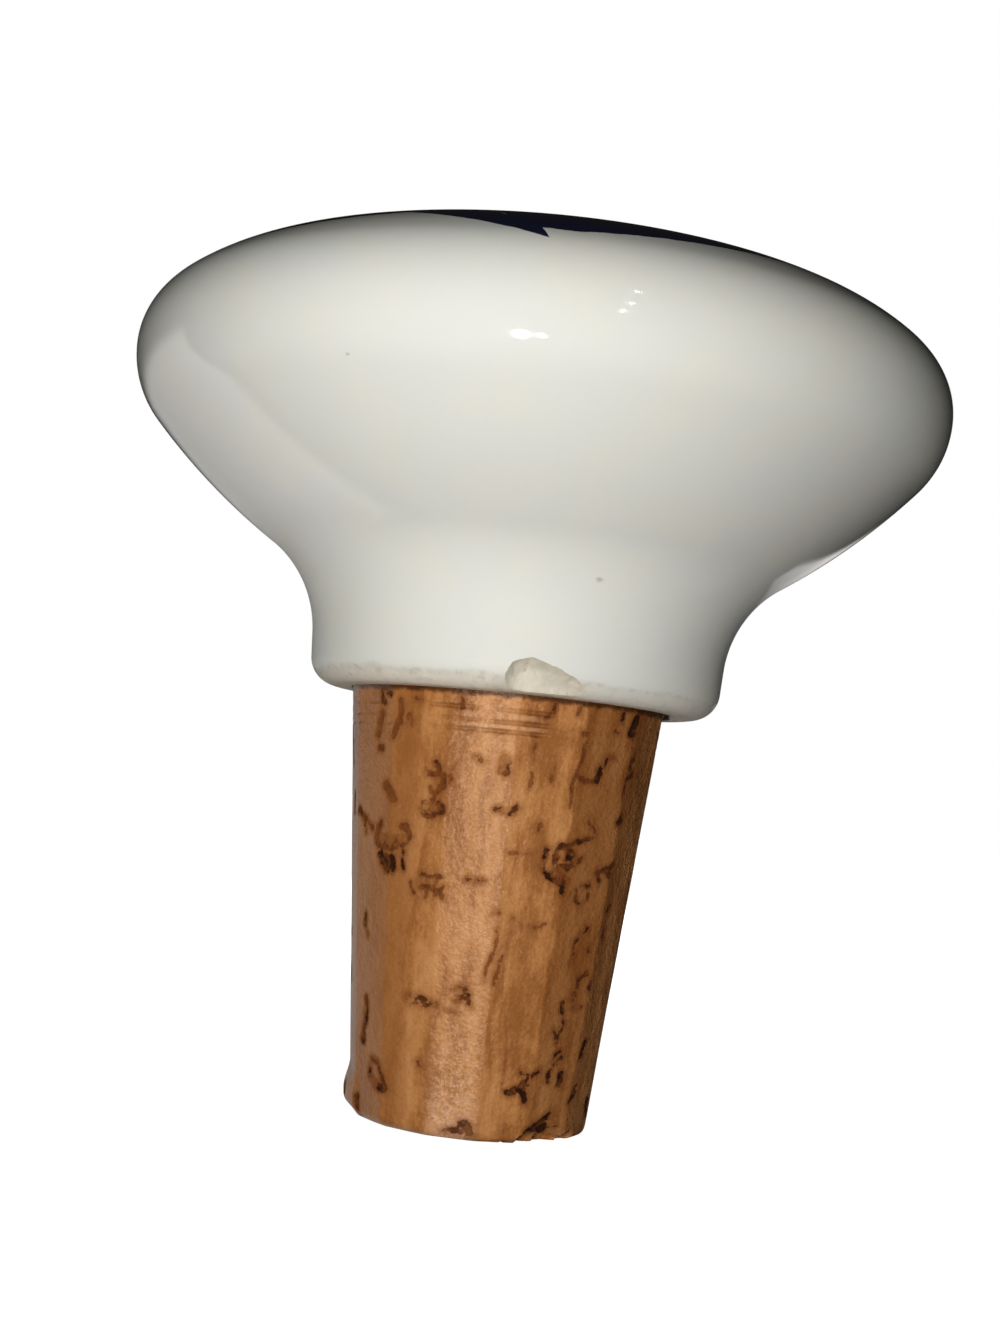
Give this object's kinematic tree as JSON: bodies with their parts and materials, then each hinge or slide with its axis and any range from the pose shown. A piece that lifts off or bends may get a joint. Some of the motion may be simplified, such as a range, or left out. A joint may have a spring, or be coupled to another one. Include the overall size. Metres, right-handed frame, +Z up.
{
  "type": "cork stopper",
  "caption": "Bottle stopper: a hollow glazed ceramic mushroom head, glued over a tapered natural cork that plugs the neck of a bottle.",
  "frame": {"origin": "middle of the bounding box's bottom, at the cork's free end, on which the stopper stands", "axes": "+Z up along the head's centre line, from the cork's free end to the crown; -Y is the side with the chipped collar"},
  "size_m": [0.0518, 0.0518, 0.0548],
  "materials": {
    "glazed_ceramic": "gloss",
    "natural_cork": "satin"
  },
  "bodies": {
    "root": {"ceramic_head": "glazed_ceramic", "cork": "natural_cork"}
  },
  "joints": []
}
